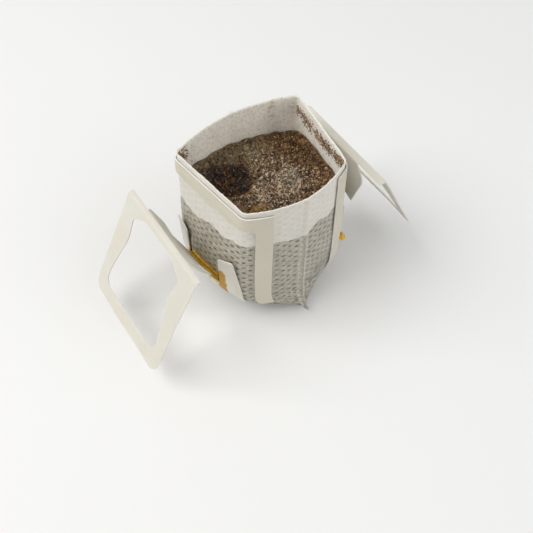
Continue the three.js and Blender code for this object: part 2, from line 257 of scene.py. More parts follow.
def orient(piece):
    """Turns the faces of a closed mesh outwards"""
    mesh = piece.data
    mesh.calc_loop_triangles()
    corners = np.array([[mesh.vertices[i].co for i in t.vertices] for t in mesh.loop_triangles])
    volume = np.einsum("ij,ij->i", corners[:, 0], np.cross(corners[:, 1], corners[:, 2])).sum()
    if volume < 0:
        mesh.flip_normals()


def scaled(colour, factor):
    """A colour made darker or lighter"""
    return tuple(c * factor for c in colour)


def bump_at(value, middle, reach):
    """Smooth bump, 1 at its middle"""
    return np.exp(-((value - middle) / reach) ** 2)


# Form of the pouch

def bottom_share(bag, z):
    """0 where the faces are straight and 1 at the bottom fold"""
    start = bag.mouth_height - bag.drop + bag.bottom_run
    return np.clip((start - z) / bag.bottom_run, 0, 1)


def open_share(bag, z):
    """How far the faces stand apart"""
    return np.sqrt(1 - bottom_share(bag, z) ** 2)


def swell_share(bag, z):
    """How much the grounds swell the pouch"""
    return np.sin(np.pi * np.clip((bag.mouth_height - z) / bag.drop, 0, 1) ** 1.6)


def sharp_outline(bag, side, run, z):
    """Outline of the pouch at a height. The run is measured along the paper from the middle of a face,
    positive towards the front seam, and side is -1 for the left half and 1 for the right."""
    half = bag.face_width / 2
    fold = bag.bottom_fold / 2
    front = run > 0
    deep = np.where(front, bag.front_depth, bag.back_depth) / 2
    flank = np.where(front, bag.front_flank, bag.back_flank)
    open_now = open_share(bag, z) * (1 + bag.corner_swell * swell_share(bag, z))
    level = (run / half + 1) / 2
    flat = (bag.back_depth / 2 + (bag.front_depth - bag.back_depth) / 2 * level) * open_now
    bulge = bag.face_bulge * swell_share(bag, z) * (1 - (run / half) ** 2)
    reach = np.sqrt(flank ** 2 - deep ** 2)
    spread = reach + (flank - reach) * bag.bottom_spread * (1 - open_share(bag, z))
    t = np.clip((np.abs(run) - half) / flank, 0, 1)
    bow = bag.flank_bow * np.sin(np.pi * t) * open_now
    on_face = np.abs(run) <= half
    across = np.maximum(fold, deep * open_now) * (1 - t) + fold * t + bow / 2
    x = np.where(on_face, np.maximum(fold, flat) + bulge, across)
    y = np.where(on_face, -run, -np.sign(run) * (half + spread * t + bow))
    return side * x, y


def round_outline(bag, side, run, z):
    """The sharp outline with its corners rounded by an average along the paper"""
    points = [sharp_outline(bag, side, run + step * bag.corner_round, z) for step in BEND_STEPS]
    return np.mean([p[0] for p in points], axis=0), np.mean([p[1] for p in points], axis=0)


def skin(bag, side, run, z, out):
    """Points on the pouch, moved out from the paper by a distance"""
    run, z = np.broadcast_arrays(np.asarray(run, float), np.asarray(z, float))
    x, y = round_outline(bag, side, run, z)
    near, far = (round_outline(bag, side, run + step * 0.3 * MM, z) for step in (-1, 1))
    tx, ty = far[0] - near[0], far[1] - near[1]
    size = np.hypot(tx, ty) + 1e-12
    x = x - side * ty / size * out
    y = y + side * tx / size * out
    fullest = bag.face_width / 2 + bag.front_flank
    rise = bag.corner_rise * bottom_share(bag, z) ** 2 * (y / fullest) ** 2
    return np.stack([x, y, z + rise], axis=-1)


def tide_height(bag, side, run):
    """Height of the scalloped water line on the paper"""
    scallop_depth, scallops = 1.1 * MM, 290
    hump_height, right_rise, front_rise = 3.4 * MM, 3.2 * MM, 2.6 * MM
    scallop = scallop_depth * (np.abs(np.sin(run * scallops + side)) ** 0.6 - 0.5)
    flat_run = np.stack([run, np.full_like(run, side)], axis=-1)
    wander = noise(flat_run, 9 * MM, 5) * 0.9 * MM + noise(flat_run, 2 * MM, 6) * 0.45 * MM
    hump = bump_at(run, 3 * MM, 4.5 * MM) * (side < 0)
    right = smoothstep(41 * MM, 34 * MM, run) * smoothstep(8 * MM, 20 * MM, run) * (side > 0)
    left_front = smoothstep(6 * MM, 14 * MM, run) * (1 - 0.5 * smoothstep(25 * MM, 40 * MM, run))
    right_front = 0.5 * smoothstep(30 * MM, 40 * MM, run)
    front = np.where(np.asarray(side) < 0, left_front, right_front)
    rise = hump * hump_height + right * right_rise + front * front_rise
    return bag.tide + scallop + wander + rise


def wrinkles(bag, side, run, z):
    """Small folds in the web: soft ones where it is wet, and creases where the bottom closes"""
    place = np.stack([run + side * SIDE_OFFSET, z], axis=-1)
    wet = smoothstep(-2 * MM, 6 * MM, tide_height(bag, side, run) - z)
    soft = noise(place * (1, 0.55), 5.5 * MM, 1) * 0.6 + noise(place * (1, 0.7), 2.2 * MM, 2) * 0.25
    low = smoothstep(0.55, 0.95, (bag.mouth_height - z) / bag.drop)
    fan = noise(place * (1, 0.28), 3.2 * MM, 3)
    return bag.wrinkle * ((0.35 + wet * 0.65) * soft + low * 1.1 * fan)


def half_runs(bag):
    """Runs of one half ring, from the front seam to the back seam"""
    front = bag.face_width / 2 + bag.front_flank * 0.985
    back = bag.face_width / 2 + bag.back_flank * 0.985
    return np.linspace(front, -back, int((front + back) / bag.step))


def pouch_ring(bag, z, inside, ripple=0.0):
    """Closed ring round the pouch, and its place on the paper: down the right half, back up the left"""
    runs = half_runs(bag)
    ring, paper = [], []
    for side in (1, -1):
        out = wrinkles(bag, side, runs, np.full_like(runs, z)) - (bag.wall if inside else 0)
        fade = smoothstep(0, 4 * MM, runs[0] - runs) * smoothstep(0, 4 * MM, runs - runs[-1])
        out = out * fade if not inside else (out + bag.wall) * fade - bag.wall
        points = skin(bag, side, runs, z, out)
        half = bag.seam_thickness / 2 if not inside else 0.05 * MM
        fin = bag.seam_fin if not inside else 0.2 * MM
        ends = []
        for point, sign in ((points[0], -1), (points[-1], 1)):
            root = (side * max(half, abs(point[0]) * 0.55), point[1] + sign * 0.15 * fin, point[2])
            tip = (side * half, point[1] + sign * fin * 0.8, point[2])
            ends.append([root, tip])
        loop = np.vstack([ends[0][::-1], points, ends[1]])
        place = np.concatenate([[runs[0] + 2 * MM, runs[0] + MM], runs, [runs[-1] - MM, runs[-1] - 2 * MM]])
        order = slice(None) if side > 0 else slice(None, None, -1)
        ring.append(loop[order])
        paper.append(np.stack([place, np.full(len(place), z), np.full(len(place), side)], axis=-1)[order])
    ring, paper = np.vstack(ring), np.vstack(paper)
    if ripple:
        along = np.arange(len(ring), dtype=float)[:, None] * bag.step
        rough = noise(along, 1.2 * MM, 11) * 0.5 + noise(along, 4 * MM, 12) * 0.5
        ring[:, 2] += ripple * rough
    return ring, paper


def ring_heights(bag, top, bottom, step):
    """Heights of the pouch's rings, closer together where the bottom closes"""
    start = bag.mouth_height - bag.drop + bag.bottom_run
    straight = np.linspace(top, start, max(2, int((top - start) / step)))
    count = int(bag.bottom_run / step)
    low = start + (bottom - start) * np.sin(np.pi / 2 * (np.arange(1, count + 1) / count))
    return np.concatenate([straight, low])


def loft_faces(levels, count):
    """Quads between closed rings, and strips that close the first and the last ring"""
    faces = []
    for level in range(levels - 1):
        a = level * count
        faces += [(a + i, a + (i + 1) % count, a + count + (i + 1) % count, a + count + i)
                  for i in range(count)]
    last = (levels - 1) * count
    for i in range(count // 2 - 1):
        faces.append((i, count - 1 - i, count - 2 - i, i + 1))
        faces.append((last + i, last + i + 1, last + count - 2 - i, last + count - 1 - i))
    return faces


def build_pouch(bag, material):
    """Pouch as one closed skin: outer rings from the bottom up to the mouth, then inner rings back down"""
    bottom = bag.mouth_height - bag.drop
    outer = [pouch_ring(bag, z, False, bag.tear if i == 0 else 0)
             for i, z in enumerate(ring_heights(bag, bag.mouth_height, bottom, bag.step))]
    inner_step = bag.step * 2
    inner = [pouch_ring(bag, z, True, bag.tear if i == 0 else 0)
             for i, z in enumerate(ring_heights(bag, bag.mouth_height, bottom + 2.4 * MM, inner_step))]
    rings = outer[::-1] + inner
    count = len(rings[0][0])
    vertices = np.vstack([ring for ring, _ in rings])
    paper = np.vstack([place for _, place in rings])
    piece = add_piece("filter_pouch", vertices, loft_faces(len(rings), count), material)
    orient(piece)
    run, z, side = paper.T
    inside = np.zeros(len(paper))
    inside[len(outer) * count:] = 1
    store(piece, "paper", np.stack([run + side * SIDE_OFFSET, z, np.zeros(len(paper))], axis=-1))
    store(piece, "wet", (tide_height(bag, side, run) - z) / MM)
    store(piece, "inside", inside)
    store(piece, "dust", inside * dust_share(bag, paper))
    half_face = bag.face_width / 2
    front_seam, back_seam = half_face + bag.front_flank, -half_face - bag.back_flank
    to_seam = np.minimum(np.abs(run - front_seam), np.abs(run - back_seam))
    store(piece, "seam", smoothstep(1.1 * MM, 0.3 * MM, to_seam))
    # Painted bluish sheen: a painted reflection low on the right half's front flank
    store(piece, "painted_sheen", bump_at(run, 28 * MM, 5 * MM) * bump_at(z, -33 * MM, 6 * MM) * (side > 0))
    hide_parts("filter_bag")
    return piece


def crumb_line(bag, run):
    """Height of the band of crumbs along the inside of the right face"""
    below_mouth, lowest_run, curve = 7.3 * MM, -9 * MM, 7.2
    return bag.mouth_height - below_mouth + curve * (run - lowest_run) ** 2


def dust_share(bag, paper):
    """Where dry grounds cling inside: a band along the right face, its back end, the left corner and a
    splash on the back flank"""
    run, z, side = paper.T
    right, left = side > 0, side < 0
    half_face = bag.face_width / 2
    band = bump_at(z, crumb_line(bag, run), 1.6 * MM) * (np.abs(run) < half_face * 1.02) * right
    corner = bump_at(run, -half_face - 1.5 * MM, 2.4 * MM) * bump_at(z, 7 * MM, 6 * MM) * left
    splash = bump_at(run, -half_face - 11 * MM, 2.2 * MM) * smoothstep(2 * MM, 7 * MM, z) * right
    end = bump_at(run, -half_face - 3 * MM, 3 * MM) * bump_at(z, 8 * MM, 5 * MM) * right
    return np.clip(0.75 * band + corner + 0.8 * splash + 0.5 * end, 0, 1)


# Bed of grounds

def bed_surface(bed, x, y):
    """Height of the bed before its grains, with the crater that the water has dug"""
    lumps = 0.5 * MM * np.sin(x * 420 + 1) * np.cos(y * 370) + 0.3 * MM * np.sin(x * 900 - y * 700)
    away = np.hypot(x - bed.crater_x, y - bed.crater_y) / bed.crater_radius
    crater = bed.crater_depth * np.exp(-(away ** 3))
    return bed.height + bed.tilt * y - bed.twist * x * y + lumps - crater


def inner_ring(bag, gap, z):
    """Ring inside the filter at given heights, as points by their angle round the middle"""
    runs = half_runs(bag)
    halves = []
    for side in (1, -1):
        points = skin(bag, side, runs, z, -(bag.wall + gap))
        halves.append(points if side > 0 else points[::-1])
    return np.vstack(halves)


def ring_at(ring, angle):
    """Points of a ring at given angles round the middle"""
    own = np.arctan2(ring[:, 1], ring[:, 0])
    order = np.argsort(own)
    reach = np.interp(angle, own[order], np.hypot(ring[:, 0], ring[:, 1])[order], period=2 * math.pi)
    return np.stack([np.cos(angle) * reach, np.sin(angle) * reach], axis=-1)


def grain_relief(points, size, seed):
    """Packed round grains: height from 0 to 1, and a random value for each grain"""
    rng = np.random.default_rng(seed)
    low, high = points.min(axis=0), points.max(axis=0)
    count = int(np.prod(high - low) / size ** 2 * 1.15)
    seeds = low + rng.random((count, 2)) * (high - low)
    tones = rng.random(count)
    tree = kdtree.KDTree(count)
    for i, seed_point in enumerate(seeds):
        tree.insert((*seed_point, 0), i)
    tree.balance()
    height, tone = np.empty(len(points)), np.empty(len(points))
    for i, point in enumerate(points):
        (_, first, near), (_, _, second) = tree.find_n((*point, 0), 2)
        height[i] = min(1, (second - near) / (size * 0.55)) ** 0.5
        tone[i] = tones[first]
    return height * (0.45 + 0.55 * tone), tone


def build_bed(bag, bed, card, material):
    """Bed of grounds: a fine grained surface over a plain body that fills the filter"""
    count = bed.side_points
    line = np.linspace(-1, 1, count)
    a, b = (axis.ravel() for axis in np.meshgrid(line, line))
    share = np.maximum(np.abs(a), np.abs(b))
    angle = np.arctan2(b, a)
    gap = card.glue_gap
    level = inner_ring(bag, gap, bed.height)
    rim = ring_at(level, angle)
    z = bed_surface(bed, *rim.T)
    flat = rim * share[:, None]
    edge = np.flatnonzero(share > 1 - 1e-9)
    for index in edge:
        ring = inner_ring(bag, gap, z[index])
        flat[index] = ring_at(ring, angle[index:index + 1])[0]
    coarse, tone = grain_relief(flat, bed.grain, 3)
    fine, fine_tone = grain_relief(flat, bed.grain * 0.5, 4)
    inner = smoothstep(1, 0.97, share)
    height = bed_surface(bed, *flat.T) + inner * (
        (coarse - 0.4) * 0.55 * MM + (fine - 0.4) * 0.28 * MM + noise(flat, 3.5 * MM, 8) * 0.35 * MM)
    surface = np.column_stack([flat, height])
    faces = [(r * count + c, r * count + c + 1, (r + 1) * count + c + 1, (r + 1) * count + c)
             for r in range(count - 1) for c in range(count - 1)]
    border = (list(range(count)) + [r * count + count - 1 for r in range(1, count)]
              + [(count - 1) * count + c for c in range(count - 2, -1, -1)]
              + [r * count for r in range(count - 2, 0, -1)])
    vertices = [surface]
    top = min(z[edge]) - 2 * MM
    bottom = bag.mouth_height - bag.drop + 4 * MM
    previous, total = border, len(surface)
    for depth in np.linspace(top, bottom, 12):
        ring = inner_ring(bag, gap, depth)
        lower = ring_at(ring, angle[border])
        vertices.append(np.column_stack([lower, np.full(len(border), depth)]))
        now = list(range(total, total + len(border)))
        faces += [(previous[i], now[i], now[(i + 1) % len(now)], previous[(i + 1) % len(now)])
                  for i in range(len(now))]
        previous, total = now, total + len(now)
    faces.append(tuple(previous))
    vertices = np.vstack(vertices)
    piece = add_piece("bed_of_grounds", vertices, faces, material)
    orient(piece)
    tones = np.zeros(len(vertices))
    tones[:len(tone)] = tone * 0.6 + fine_tone * 0.4
    store(piece, "tone", tones)
    store_zones(piece, bed)
    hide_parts("coffee_grounds")
    return piece


def store_zones(piece, bed):
    """Keeps for each point how far it lies in the crater, the foam and the other zones of the bed"""
    points = np.array([v.co for v in piece.data.vertices])
    x, y = points[:, 0], points[:, 1]
    wobble = noise(points[:, :2], 4 * MM, 21) * 0.14
    in_crater = np.hypot(x - bed.crater_x, y - bed.crater_y) / bed.crater_radius
    in_foam = np.hypot(x - 3 * MM, y + 3 * MM) / (15 * MM)
    x, y = x + wobble * 14 * MM, y + wobble * 14 * MM
    in_ash = np.hypot(x - 9.5 * MM, y + 3 * MM) / (4.5 * MM)
    in_liquor = np.hypot((x + 10 * MM) / (5 * MM), (y + 9 * MM) / (4 * MM))
    shares = (
        # The crater's soaked grounds, with painted shade of its hollow
        smoothstep(1.04, 0.88, in_crater + wobble),
        smoothstep(1.25, 0.4, in_foam + wobble * 2) * smoothstep(0.9, 1.25, in_crater),
        smoothstep(8 * MM, 14 * MM, x) * 0.9,
        smoothstep(7 * MM, 13 * MM, y - 0.3 * x),
        smoothstep(1.2, 0.5, in_ash),
        smoothstep(1.2, 0.5, in_liquor))
    for zone, share in zip(ZONES, shares):
        store(piece, zone, share)


def lump(rng, size):
    """Points and faces of one broken grain"""
    golden = (1 + 5 ** 0.5) / 2
    points = [Vector(p).normalized() for p in (
        (-1, golden, 0), (1, golden, 0), (-1, -golden, 0), (1, -golden, 0), (0, -1, golden), (0, 1, golden),
        (0, -1, -golden), (0, 1, -golden), (golden, 0, -1), (golden, 0, 1), (-golden, 0, -1),
        (-golden, 0, 1))]
    faces = [(0, 11, 5), (0, 5, 1), (0, 1, 7), (0, 7, 10), (0, 10, 11), (1, 5, 9), (5, 11, 4), (11, 10, 2),
             (10, 7, 6), (7, 1, 8), (3, 9, 4), (3, 4, 2), (3, 2, 6), (3, 6, 8), (3, 8, 9), (4, 9, 5),
             (2, 4, 11), (6, 2, 10), (8, 6, 7), (9, 8, 1)]
    stretch = Vector((rng.uniform(0.8, 1.3), rng.uniform(0.6, 1.0), rng.uniform(0.45, 0.8)))
    turn = Quaternion((rng.random() - 0.5, rng.random() - 0.5, rng.random() - 0.5, rng.random() - 0.5))
    turn.normalize()
    shaped = [turn @ (p * rng.uniform(0.72, 1.15) * stretch) * size for p in points]
    return shaped, faces


def scatter(name, places, material, seed):
    """One mesh of broken grains: places holds a point, a size and a tone for each"""
    rng = random.Random(seed)
    vertices, faces, tones = [], [], []
    for point, size, tone in places:
        points, grain_faces = lump(rng, size)
        start = len(vertices)
        vertices += [Vector(point) + p for p in points]
        faces += [tuple(start + i for i in face) for face in grain_faces]
        tones += [tone] * len(points)
    piece = add_piece(name, vertices, faces, material, smooth=False)
    store(piece, "tone", tones)
    return piece


def build_loose_grains(bag, bed, card, material):
    """Single grains that lie on the bed"""
    rng = random.Random(12)
    ring = inner_ring(bag, card.glue_gap + 0.7 * MM, bed.height)
    places = []
    while len(places) < bed.loose_grains:
        angle = rng.uniform(-math.pi, math.pi)
        limit = ring_at(ring, np.array([angle]))[0]
        x, y = limit * math.sqrt(rng.random())
        size = rng.triangular(0.2, 0.62, 0.3) * MM
        z = float(bed_surface(bed, x, y)) + rng.uniform(0.05, 0.3) * MM
        places.append(((x, y, z), size, rng.random()))
    piece = scatter("loose_grains", places, material, 13)
    store_zones(piece, bed)
    return piece


def build_stuck_crumbs(bag, bed, material):
    """Dry grounds that cling to the inside of the filter above the bed"""
    rng = random.Random(31)
    places = []
    face = bag.face_width / 2
    for _ in range(bed.stuck_crumbs):
        if rng.random() < 0.72:
            side, run = 1, rng.uniform(-face, face)
            z = crumb_line(bag, run) + rng.gauss(0, 1.5) * MM
            patchy = 0.5 + 0.5 * math.sin(run * 900) * math.sin(run * 370 + 1)
            if rng.random() > 0.35 + 0.65 * patchy:
                continue
        else:
            side, run = -1, -face - abs(rng.gauss(0, 2.6)) * MM
            z = rng.gauss(10, 2.2) * MM
        z = min(z, bag.mouth_height - 1.2 * MM)
        size = rng.triangular(0.12, 0.4, 0.18) * MM
        point = skin(bag, side, run, z, -bag.wall - size * 0.4)
        places.append((point, size, rng.uniform(0.1, 1)))
    piece = scatter("stuck_crumbs", places, material, 32)
    store_zones_off(piece)
    return piece


def store_zones_off(piece):
    """Marks a piece as outside all zones of the bed"""
    for zone in ZONES:
        store(piece, zone, np.zeros(len(piece.data.vertices)))


# Card

def rounded_outline(corners, points_per_corner=6):
    """Closed polygon whose corners are rounded: each corner is (x, y, radius)"""
    outline = []
    for i, (x, y, radius) in enumerate(corners):
        at = Vector((x, y))
        before = Vector(corners[i - 1][:2])
        after = Vector(corners[(i + 1) % len(corners)][:2])
        if radius <= 0:
            outline.append(at)
            continue
        start = at + (before - at).normalized() * radius
        end = at + (after - at).normalized() * radius
        for k in range(points_per_corner + 1):
            t = k / points_per_corner
            outline.append(start * (1 - t) ** 2 + at * 2 * t * (1 - t) + end * t ** 2)
    return outline


def spaced_outline(outline, step):
    """The same polygon with points no further apart than a step"""
    points = []
    for i, a in enumerate(outline):
        b = outline[(i + 1) % len(outline)]
        count = max(1, math.ceil((b - a).length / step))
        points += [a.lerp(b, k / count) for k in range(count)]
    return points


def inside_outline(points, outline):
    """True for the points that lie in a polygon"""
    xs, ys = np.array([tuple(p) for p in outline]).T
    x2, y2 = np.roll(xs, -1), np.roll(ys, -1)
    px, py = points[:, 0][:, None], points[:, 1][:, None]
    crosses = (ys > py) != (y2 > py)
    at = (x2 - xs) * (py - ys) / np.where(y2 == ys, 1e-12, y2 - ys) + xs
    return (crosses & (px < at)).sum(axis=1) % 2 == 1


def card_net(outline, holes, folds, step):
    """Fine flat net of a card shape: its points, and its triangles turned the same way"""
    loops = [spaced_outline(loop, step) for loop in [outline, *holes]]
    points = [p for loop in loops for p in loop]
    edges, start = [], 0
    for loop in loops:
        edges += [(start + i, start + (i + 1) % len(loop)) for i in range(len(loop))]
        start += len(loop)
    border = np.array([tuple(p) for p in points])
    low, high = border.min(axis=0), border.max(axis=0)
    columns = np.arange(low[0] + step / 2, high[0], step)
    rows = np.unique(np.concatenate([np.arange(low[1] + step / 2, high[1], step), folds]))
    grid = np.array([(x, y) for x in columns for y in rows])
    keep = inside_outline(grid, outline)
    for hole in holes:
        keep &= ~inside_outline(grid, hole)
    grid = grid[keep]
    distance = np.concatenate([
        np.hypot(part[:, None, 0] - border[:, 0], part[:, None, 1] - border[:, 1]).min(axis=1)
        for part in np.array_split(grid, len(grid) // 500 + 1)])
    points += [Vector(p) for p in grid[distance > step * 0.35]]
    vertices, _, triangles, *_ = geometry.delaunay_2d_cdt(points, edges, [], 0, 1e-7)
    flat = np.array([tuple(v) for v in vertices])
    triangles = np.array(triangles)
    middles = flat[triangles].mean(axis=1)
    keep = inside_outline(middles, outline)
    for hole in holes:
        keep &= ~inside_outline(middles, hole)
    triangles = triangles[keep]
    p, q, r = (flat[triangles[:, k]] for k in range(3))
    wrong = np.cross(q - p, r - p) < 0
    triangles[wrong] = triangles[wrong][:, ::-1]
    return flat, triangles


def build_card(name, node, net, place, thickness, material, side):
    """Closed sheet of card from a flat net: place gives the points of a layer at a depth in the card"""
    flat, triangles = net
    count = len(flat)
    vertices = np.vstack([place(flat, thickness), place(flat, 0)])
    faces = [tuple(t) for t in triangles] + [(a + count, c + count, b + count) for a, b, c in triangles]
    edges = {(a, b) for t in triangles.tolist() for a, b in (t[:2], t[1:], (t[2], t[0]))}
    rim = [(a, b) for a, b in edges if (b, a) not in edges]
    faces += [(b, a, a + count, b + count) for a, b in sorted(rim)]
    piece = add_piece(name, vertices, faces, material)
    orient(piece)
    edge = np.zeros(len(vertices))
    border = sorted({i for pair in rim for i in pair})
    edge[border] = 1
    edge[[i + count for i in border]] = 1
    store(piece, "edge", edge)
    store(piece, "sheet", np.vstack([np.column_stack([flat, np.full(count, side * 0.1)])] * 2))
    bevel = piece.modifiers.new("Cut edge", "BEVEL")
    bevel.width = 0.07 * MM
    bevel.segments = 1
    bevel.limit_method = "ANGLE"
    bevel.angle_limit = math.radians(50)
    bevel.harden_normals = True
    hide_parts(node)
    return piece


def build_frame(bag, card, side, shift, name, node, material):
    """Strip across the face and round its corners, with a leg down each flank"""
    end = bag.face_width / 2 + card.strip_reach
    inner = end - card.leg_width
    top = -card.frame_drop
    under = top - card.strip_height
    corners = [
        (shift - end, top, 0.3 * MM), (shift - end, -card.leg_bottom, 0.3 * MM),
        (shift - inner, -card.leg_bottom, 0.3 * MM), (shift - inner, under, card.leg_fillet),
        (shift + inner, under, card.leg_fillet), (shift + inner, -card.leg_bottom, 0.3 * MM),
        (shift + end, -card.leg_bottom, 0.3 * MM), (shift + end, top, 0.3 * MM)]
    net = card_net(rounded_outline(corners), [], [], card.step * 0.6)

    def place(flat, depth):
        run, height = flat.T
        z = bag.mouth_height + height
        lift = card.warp * 0.5 * (noise(flat + side, 9 * MM, 41) + 1) * smoothstep(0, 4 * MM, top - height)
        return skin(bag, side, run, z, card.glue_gap + depth + lift * 0.6)

    piece = build_card(name, node, net, place, card.thickness, material, side)
    store(piece, "soak", np.zeros(len(piece.data.vertices)))
    # Painted shade: the frames are the same card as the ears, drawn darker and warmer
    store(piece, "frame_shade", np.ones(len(piece.data.vertices)))
    return piece


def hook_point(card, crease, seat, hinge_out, v):
    """Place in the plane across an ear, outwards and up, at a distance past the crease over the rim"""
    slope = card.loop_slope
    hinge = np.array([hinge_out, card.hinge_height])
    fold = np.array([crease, card.thickness])
    length_in = np.hypot(*(fold - hinge))
    seat_end = fold + (seat, 0)
    down = np.array([math.sin(slope), -math.cos(slope)])
    v = np.asarray(v, float)[:, None]
    inwards = fold + (hinge - fold) * (-v / length_in)
    on_seat = fold + np.array([1.0, 0.0]) * v
    on_loop = seat_end + down * (v - seat)
    return np.where(v < 0, inwards, np.where(v < seat, on_seat, on_loop)), length_in


def mirrored(corners):
    """The same corners on the other side, in the order that carries on round the outline"""
    return [(-x, y, radius) for x, y, radius in corners][::-1]


def ear_outline(card, to_hinge):
    """Outline of an ear's flat net and of the hole in its loop: each corner is (x, y, radius)"""
    shoulder = -card.shoulder_drop
    tongue, neck, plate = card.tongue_width / 2, card.neck_width / 2, card.plate_width / 2
    tab_inner, tab_top = neck + card.slit, shoulder - card.slit
    inner = [
        (10 * MM, 0, 0), (16.5 * MM, -4.6 * MM, 2 * MM), (tongue, shoulder, 0.5 * MM),
        (neck, shoulder, 1 * MM), (neck, to_hinge, 0), (tab_inner, to_hinge, 0),
        (tab_inner, tab_top - 3 * MM, 1 * MM), (tongue, tab_top, 1 * MM),
        (plate, to_hinge - 1 * MM, 3 * MM), (plate, to_hinge - card.plate_drop, 4 * MM)]
    loop = [(card.loop_width / 2, card.loop_height, 5 * MM), (card.loop_width / 2, 0, 1 * MM)]
    hole = [
        (9.5 * MM, 4.3 * MM, 2 * MM), (16.5 * MM, 8.5 * MM, 2 * MM), (14.7 * MM, 17 * MM, 3 * MM),
        (18.3 * MM, 35 * MM, 3 * MM), (18.3 * MM, 43 * MM, 4.5 * MM)]
    outline = [*inner, *mirrored(inner), *mirrored(loop), *loop]
    return rounded_outline(outline), rounded_outline([*hole, *mirrored(hole)])


def build_ear(bag, card, side, crease, seat, name, material):
    """One die-cut ear: loop, seat on the rim, tongue, and the hinged plate with its tabs on the filter"""
    hinge_out = float(skin(bag, 1, 0.0, card.hinge_height, card.glue_gap)[0])
    _, length_in = hook_point(card, crease, seat, hinge_out, np.zeros(1))
    to_hinge = -length_in
    outline, hole = ear_outline(card, to_hinge)
    folds = [fold + step * card.fold_round for fold in (0, seat) for step in BEND_STEPS]
    net = card_net(outline, [hole], [*folds, to_hinge], card.step)
    shoulder, slit, neck = -card.shoulder_drop, card.slit, card.neck_width / 2

    def profile(v):
        points = [hook_point(card, crease, seat, hinge_out, v + step * card.fold_round)[0]
                  for step in BEND_STEPS]
        return np.mean(points, axis=0)

    def place(flat, depth):
        u, v = flat.T
        at = profile(np.maximum(v, to_hinge + card.fold_round))
        tangent = profile(v + 0.1 * MM) - profile(v - 0.1 * MM)
        tangent /= np.hypot(*tangent.T)[:, None]
        normal = np.column_stack([tangent[:, 1], -tangent[:, 0]])
        bend = card.warp * (noise(flat + side, 16 * MM, 51) + 0.5 * (u / (20 * MM)) ** 2 - 0.3)
        bend = bend * smoothstep(2 * MM, 12 * MM, v)
        hook = at + normal * (depth + bend)[:, None]
        hook = np.column_stack([side * hook[:, 0], u, hook[:, 1]])
        foot = skin(bag, side, -u, np.full_like(u, card.hinge_height), card.glue_gap + depth)
        head = profile(np.zeros(1))[0] + (depth * normal)
        share = np.clip(1 + v / length_in, 0, 1)[:, None]
        head = np.column_stack([side * head[:, 0], u, head[:, 1]])
        tongue = foot * (1 - share) + head * share
        up = v - to_hinge
        lean = card.tab_lean * np.clip(up / (shoulder - to_hinge), 0, 1) ** 2
        on_pouch = skin(bag, side, -u, card.hinge_height + up, card.glue_gap + lean + depth)
        on_tab = (np.abs(u) > neck + slit / 2) & (v < shoulder - slit / 2)
        low = (v <= to_hinge) | on_tab
        near_fold = smoothstep(-3 * MM, -0.6 * MM, v)[:, None]
        upper = np.where(v[:, None] >= 0, hook, tongue * (1 - near_fold) + hook * near_fold)
        return np.where(low[:, None], on_pouch, upper)

    piece = build_card(name, name.replace("card_", ""), net, place, card.thickness, material, side)
    flat = net[0]
    near = np.abs(flat[:, 1] - to_hinge - 1 * MM) + np.maximum(0, np.abs(flat[:, 0]) - neck)
    soak = smoothstep(7 * MM, 0, near + noise(flat, 2.5 * MM, 61) * 1.6 * MM)
    if side < 0:
        run_down = (np.maximum(0, np.abs(flat[:, 0] + neck + 1.4 * MM) - 0.9 * MM) * 2
                    + np.maximum(0, np.abs(flat[:, 1] - to_hinge) - 7 * MM))
        streak = run_down + noise(flat, 2 * MM, 62) * MM
        soak = np.maximum(soak, 0.85 * smoothstep(3.2 * MM, 0.4 * MM, streak))
    store(piece, "soak", np.concatenate([soak, soak]) * (1 if side < 0 else 0.25))
    return piece


# Coffee

def build_hinge_pool(bag, card, coffee, material):
    """Coffee held in the groove between the left tongue and the filter, along the hinge"""
    hinge_out = float(skin(bag, 1, 0.0, card.hinge_height, card.glue_gap)[0])
    _, length_in = hook_point(card, card.left_crease, card.left_seat, hinge_out, np.zeros(1))
    half, film = coffee.pool_length / 2, 0.05 * MM
    vertices, faces = [], []
    columns, section = 33, 9
    for i, u in enumerate(np.linspace(-half, half, columns)):
        end = math.sqrt(max(0.02, 1 - (abs(u) / (half * 1.02)) ** 6))
        waves = (0.25 * math.sin(i * 0.9) + 0.12 * math.sin(i * 2.1)) * MM
        fill = (coffee.pool_depth + waves) * end
        foot = skin(bag, -1, -u, card.hinge_height + 0.35 * MM, film)
        wall = skin(bag, -1, -u, card.hinge_height + fill * 0.9, film)
        share = fill / length_in
        crease = np.array([-card.left_crease, u, card.thickness])
        card_foot = skin(bag, -1, -u, card.hinge_height, card.glue_gap)
        card_side = card_foot + (crease - card_foot) * share + np.array([0.02 * MM, 0, 0.05 * MM])
        middle = foot * 0.32 + (wall + card_side) * 0.34
        for k in range(section):
            t = k / (section - 1)
            vertices.append(wall * (1 - t) ** 2 + middle * 2 * t * (1 - t) + card_side * t ** 2)
        vertices.append(card_foot + np.array([0.25 * MM, 0, 0.1 * MM]))
    ring = section + 1
    for i in range(columns - 1):
        for k in range(ring):
            a, b = i * ring + k, i * ring + (k + 1) % ring
            faces.append((a, b, b + ring, a + ring))
    faces.append(tuple(range(ring))[::-1])
    faces.append(tuple(range((columns - 1) * ring, columns * ring)))
    piece = add_piece("hinge_coffee", vertices, faces, material)
    across = np.linspace(0, 1, section)
    groove = np.append(np.exp(-((across - 0.5) / 0.11) ** 2), 0)
    store(piece, "groove", np.tile(groove, columns))
    orient(piece)
    return piece


